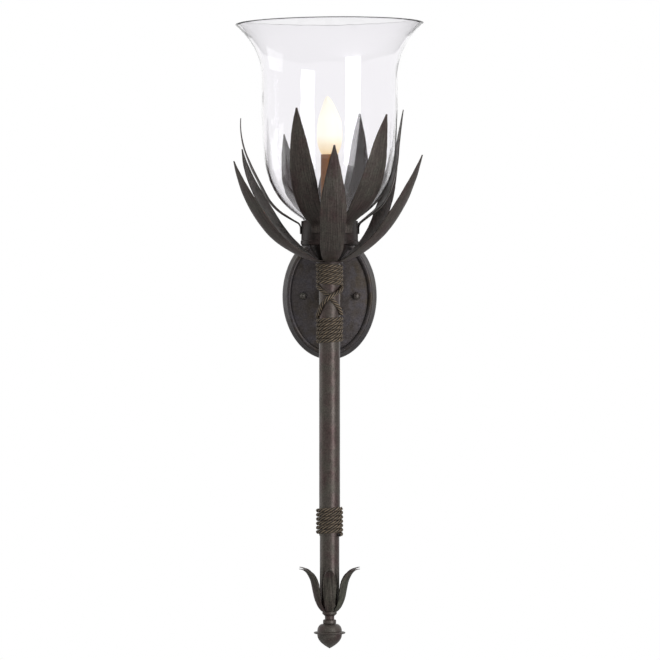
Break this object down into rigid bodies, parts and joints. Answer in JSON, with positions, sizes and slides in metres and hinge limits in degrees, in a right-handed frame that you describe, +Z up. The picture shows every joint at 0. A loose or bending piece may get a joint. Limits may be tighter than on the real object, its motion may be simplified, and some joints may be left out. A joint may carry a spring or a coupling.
{
  "type": "torch wall sconce",
  "caption": "Torch-shaped wall sconce: clear flared glass bell in whorls of iron leaves on a rope-bound round stem, oval wall plate, candle lamp and acorn foot.",
  "frame": {"origin": "centre of the box strap's two slots, on the wall plane behind the middle of the oval plate", "axes": "+Z up along the stem, +Y into the wall (the front faces -Y), +X to the right as seen from the front"},
  "size_m": [0.2311, 0.255, 0.762],
  "materials": {
    "forged_iron": "dark bronze-brown patina, hand hammered",
    "cast_iron": "dark bronze-brown patina, cast",
    "bronzed_nut": "dark bronze patina, smooth",
    "zinc_steel": "zinc plated",
    "green_screw": "green passivated",
    "rope": "tarred twisted cord",
    "clear_glass": "clear hand-blown, faint lavender-grey",
    "frosted_glass": "frosted, alight",
    "amber_sleeve": "amber-brown, satin",
    "gasket_rubber": "matt",
    "holder_phenolic": "matt",
    "brass": "bright",
    "lamp_cap_metal": "bright",
    "lamp_insulator": "glossy black with a soldered centre",
    "filament": "fine wire on a glass mount",
    "wire_jacket": "black insulation",
    "earth_jacket": "green insulation"
  },
  "bodies": {
    "fixture": {"arm_flange": "forged_iron", "arm_flange_nut": "zinc_steel", "arm_nipple": "zinc_steel", "arm_tube": "forged_iron", "backplate": "forged_iron", "box_strap": "zinc_steel", "candle_sleeve": "amber_sleeve", "cup": "forged_iron", "cup_lock_nut": "zinc_steel", "cup_washer": "zinc_steel", "earth_screw": "green_screw", "earth_wire": "earth_jacket", "foot_cup": "cast_iron", "foot_leaf_1": "cast_iron", "foot_leaf_2": "cast_iron", "foot_leaf_3": "cast_iron", "foot_leaf_4": "cast_iron", "foot_leaf_5": "cast_iron", "foot_leaf_6": "cast_iron", "foot_spool": "cast_iron", "glass_gasket": "gasket_rubber", "holder_body": "holder_phenolic", "holder_contact": "brass", "holder_leg": "zinc_steel", "holder_shell": "brass", "hub": "forged_iron", "leaf_ring": "forged_iron", "lower_leaf_back": "forged_iron", "lower_leaf_back_left": "forged_iron", "lower_leaf_back_right": "forged_iron", "lower_leaf_front": "forged_iron", "lower_leaf_front_left": "forged_iron", "lower_leaf_front_right": "forged_iron", "plate_studs": "zinc_steel", "rope_bottom": "rope", "rope_middle": "rope", "rope_top": "rope", "stem_joiner": "zinc_steel", "stem_lower": "forged_iron", "stem_upper": "forged_iron", "stud_bar": "zinc_steel", "supply_wires": "wire_jacket", "tie_bolt": "zinc_steel", "top_bushing": "zinc_steel", "top_nipple": "zinc_steel", "upper_leaf_back_left": "forged_iron", "upper_leaf_back_right": "forged_iron", "upper_leaf_front_left": "forged_iron", "upper_leaf_front_right": "forged_iron", "upper_leaf_left": "forged_iron", "upper_leaf_right": "forged_iron"},
    "shade": {"glass_shade": "clear_glass"},
    "lamp": {"lamp_envelope": "frosted_glass", "lamp_cap": "lamp_cap_metal", "lamp_contact": "lamp_insulator", "lamp_filament": "filament"},
    "foot_acorn": {"acorn": "cast_iron", "acorn_ring": "cast_iron"},
    "left_nut": {"cap_nut_left": "bronzed_nut"},
    "right_nut": {"cap_nut_right": "bronzed_nut"}
  },
  "joints": [
    {"name": "shade_lift", "type": "slide", "parent": "fixture", "child": "shade", "axis": [0, 0, 1], "range_m": [0, 0.2]},
    {"name": "lamp_turn", "type": "hinge", "parent": "fixture", "child": "lamp", "pos_m": [0, -0.1397, 0.155], "axis": [0, 0, 1], "range_deg": [0, 990]},
    {"name": "acorn_turn", "type": "hinge", "parent": "fixture", "child": "foot_acorn", "pos_m": [0, -0.1397, -0.41], "axis": [0, 0, 1], "continuous": true},
    {"name": "left_nut_turn", "type": "hinge", "parent": "fixture", "child": "left_nut", "pos_m": [-0.03335, -0.022, 0], "axis": [0, 1, 0], "continuous": true},
    {"name": "right_nut_turn", "type": "hinge", "parent": "fixture", "child": "right_nut", "pos_m": [0.03335, -0.022, 0], "axis": [0, 1, 0], "continuous": true}
  ]
}
